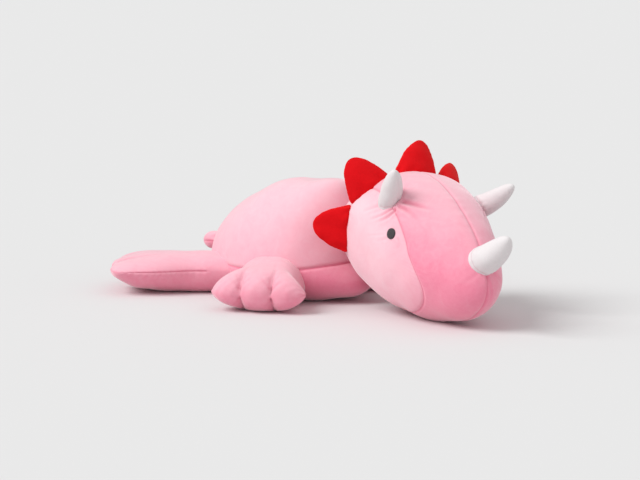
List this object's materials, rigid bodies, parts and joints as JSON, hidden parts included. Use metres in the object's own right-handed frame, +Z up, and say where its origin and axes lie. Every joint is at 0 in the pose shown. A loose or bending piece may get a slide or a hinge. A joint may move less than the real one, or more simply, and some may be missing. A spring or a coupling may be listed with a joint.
{
  "type": "stuffed dinosaur",
  "caption": "Pink plush horned dinosaur lying on its belly, with white horns, a red frill of soft spikes, splayed legs and a short tail.",
  "frame": {"origin": "middle of the flat that the belly rests on, on the floor plane", "axes": "+X from tail to head, +Y to the toy's left, +Z up"},
  "size_m": [0.7159, 0.4284, 0.2403],
  "materials": {
    "pink_plush": "short-pile plush",
    "red_plush": "short-pile plush",
    "white_plush": "short-pile plush",
    "eye_thread": "satin-stitched thread",
    "pink_thread": "sewing thread",
    "fibre_fill": "polyester fibre fill"
  },
  "bodies": {
    "torso": {"back_panel": "pink_plush", "belly_panel": "pink_plush", "body_stuffing": "fibre_fill"},
    "neck": {"neck_stuffing": "fibre_fill"},
    "head": {"right_face": "pink_plush", "left_face": "pink_plush", "right_cheek": "pink_plush", "left_cheek": "pink_plush", "head_back_panel": "pink_plush", "head_stuffing": "fibre_fill", "right_brow_horn": "white_plush", "left_brow_horn": "white_plush", "nose_horn": "white_plush", "right_brow_horn_stuffing": "fibre_fill", "left_brow_horn_stuffing": "fibre_fill", "nose_horn_stuffing": "fibre_fill", "right_eye": "eye_thread", "left_eye": "eye_thread", "spike_right_low_front": "red_plush", "spike_right_low_rear": "red_plush", "spike_right_low_batting": "fibre_fill", "spike_right_high_front": "red_plush", "spike_right_high_rear": "red_plush", "spike_right_high_batting": "fibre_fill", "spike_top_front": "red_plush", "spike_top_rear": "red_plush", "spike_top_batting": "fibre_fill", "spike_left_high_front": "red_plush", "spike_left_high_rear": "red_plush", "spike_left_high_batting": "fibre_fill", "spike_left_low_front": "red_plush", "spike_left_low_rear": "red_plush", "spike_left_low_batting": "fibre_fill"},
    "tail": {"tail_cover": "pink_plush", "tail_stuffing": "fibre_fill"},
    "leg_front_right": {"leg_front_right_upper": "pink_plush", "leg_front_right_sole": "pink_plush", "leg_front_right_stuffing": "fibre_fill", "leg_front_right_toe_stitches": "pink_thread"},
    "leg_front_left": {"leg_front_left_upper": "pink_plush", "leg_front_left_sole": "pink_plush", "leg_front_left_stuffing": "fibre_fill", "leg_front_left_toe_stitches": "pink_thread"},
    "leg_back_right": {"leg_back_right_upper": "pink_plush", "leg_back_right_sole": "pink_plush", "leg_back_right_stuffing": "fibre_fill", "leg_back_right_toe_stitches": "pink_thread"},
    "leg_back_left": {"leg_back_left_upper": "pink_plush", "leg_back_left_sole": "pink_plush", "leg_back_left_stuffing": "fibre_fill", "leg_back_left_toe_stitches": "pink_thread"}
  },
  "joints": [
    {"name": "neck_turn", "type": "hinge", "parent": "torso", "child": "neck", "pos_m": [0.107, -0.004, 0.103], "axis": [0, 0, 1], "range_deg": [-12, 20]},
    {"name": "head_nod", "type": "hinge", "parent": "neck", "child": "head", "pos_m": [0.107, -0.004, 0.103], "axis": [-0.342, -0.9397, 0], "range_deg": [0, 22]},
    {"name": "tail_wag", "type": "hinge", "parent": "torso", "child": "tail", "pos_m": [-0.18, 0, 0.061], "axis": [0, 0, 1], "range_deg": [-15, 15]},
    {"name": "leg_front_right_swing", "type": "hinge", "parent": "torso", "child": "leg_front_right", "pos_m": [0.03, -0.101, 0.027], "axis": [0, 0, 1], "range_deg": [-18, 18]},
    {"name": "leg_front_left_swing", "type": "hinge", "parent": "torso", "child": "leg_front_left", "pos_m": [0.03, 0.101, 0.027], "axis": [0, 0, 1], "range_deg": [-18, 18]},
    {"name": "leg_back_right_swing", "type": "hinge", "parent": "torso", "child": "leg_back_right", "pos_m": [-0.1235, -0.0755, 0.036], "axis": [0, 0, 1], "range_deg": [-18, 18]},
    {"name": "leg_back_left_swing", "type": "hinge", "parent": "torso", "child": "leg_back_left", "pos_m": [-0.1235, 0.0755, 0.036], "axis": [0, 0, 1], "range_deg": [-18, 18]}
  ]
}
